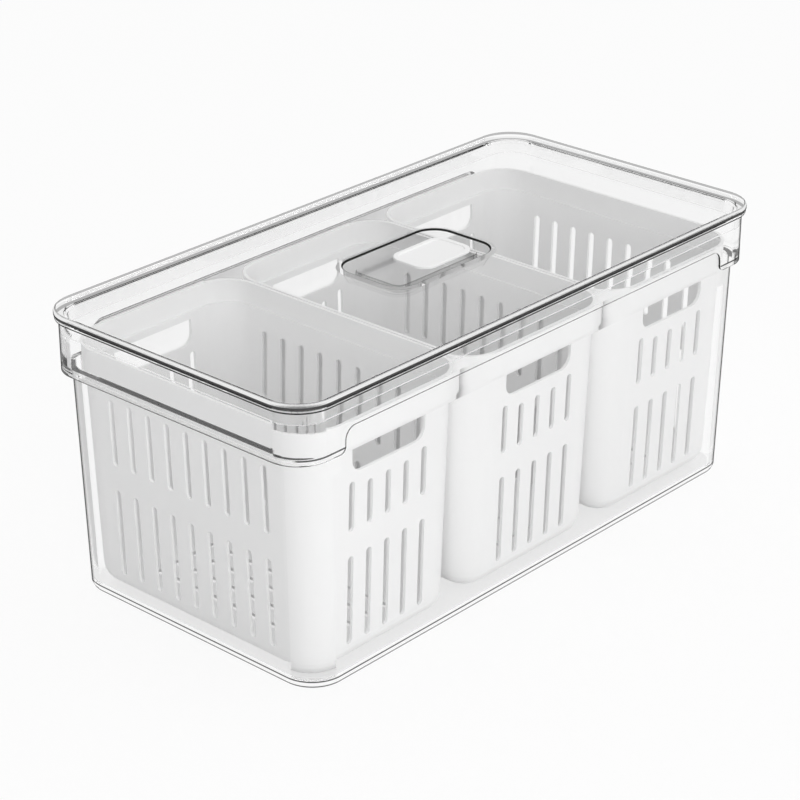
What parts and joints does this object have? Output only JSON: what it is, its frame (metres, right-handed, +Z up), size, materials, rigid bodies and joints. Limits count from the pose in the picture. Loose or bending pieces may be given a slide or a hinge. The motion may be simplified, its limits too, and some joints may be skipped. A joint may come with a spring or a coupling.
{
  "type": "fridge organizer bin",
  "caption": "Clear oblong fridge bin with a stepped collar, a lift-off lid with a sliding air vent, and white slotted baskets that stand side by side and lift out.",
  "frame": {"origin": "middle of the bin's underside, on the surface that it stands on", "axes": "+X along the bin's length, towards the end at which the vent slider rests; +Y across the bin; +Z up"},
  "size_m": [0.3646, 0.1826, 0.1587],
  "materials": {
    "clear_plastic": "clear polished",
    "white_slider": "satin white",
    "white_basket": "fine matte white"
  },
  "bodies": {
    "bin": {"outer_bin": "clear_plastic"},
    "lid": {"lid": "clear_plastic"},
    "slider": {"vent_slider": "white_slider"},
    "left_basket": {"basket_left": "white_basket"},
    "middle_basket": {"basket_middle": "white_basket"},
    "right_basket": {"basket_right": "white_basket"}
  },
  "joints": [
    {"name": "lid_lift", "type": "slide", "parent": "bin", "child": "lid", "axis": [0, 0, 1], "range_m": [0, 0.32]},
    {"name": "vent_slide", "type": "slide", "parent": "lid", "child": "slider", "axis": [-1, 0, 0], "range_m": [0, 0.023]},
    {"name": "left_basket_lift", "type": "slide", "parent": "bin", "child": "left_basket", "axis": [0, 0, 1], "range_m": [0, 0.16]},
    {"name": "middle_basket_lift", "type": "slide", "parent": "bin", "child": "middle_basket", "axis": [0, 0, 1], "range_m": [0, 0.16]},
    {"name": "right_basket_lift", "type": "slide", "parent": "bin", "child": "right_basket", "axis": [0, 0, 1], "range_m": [0, 0.16]}
  ],
  "couplings": [
    {"joint": "left_basket_lift", "follows": "lid_lift", "ratio": 0.5},
    {"joint": "middle_basket_lift", "follows": "lid_lift", "ratio": 0.5},
    {"joint": "right_basket_lift", "follows": "lid_lift", "ratio": 0.5}
  ]
}
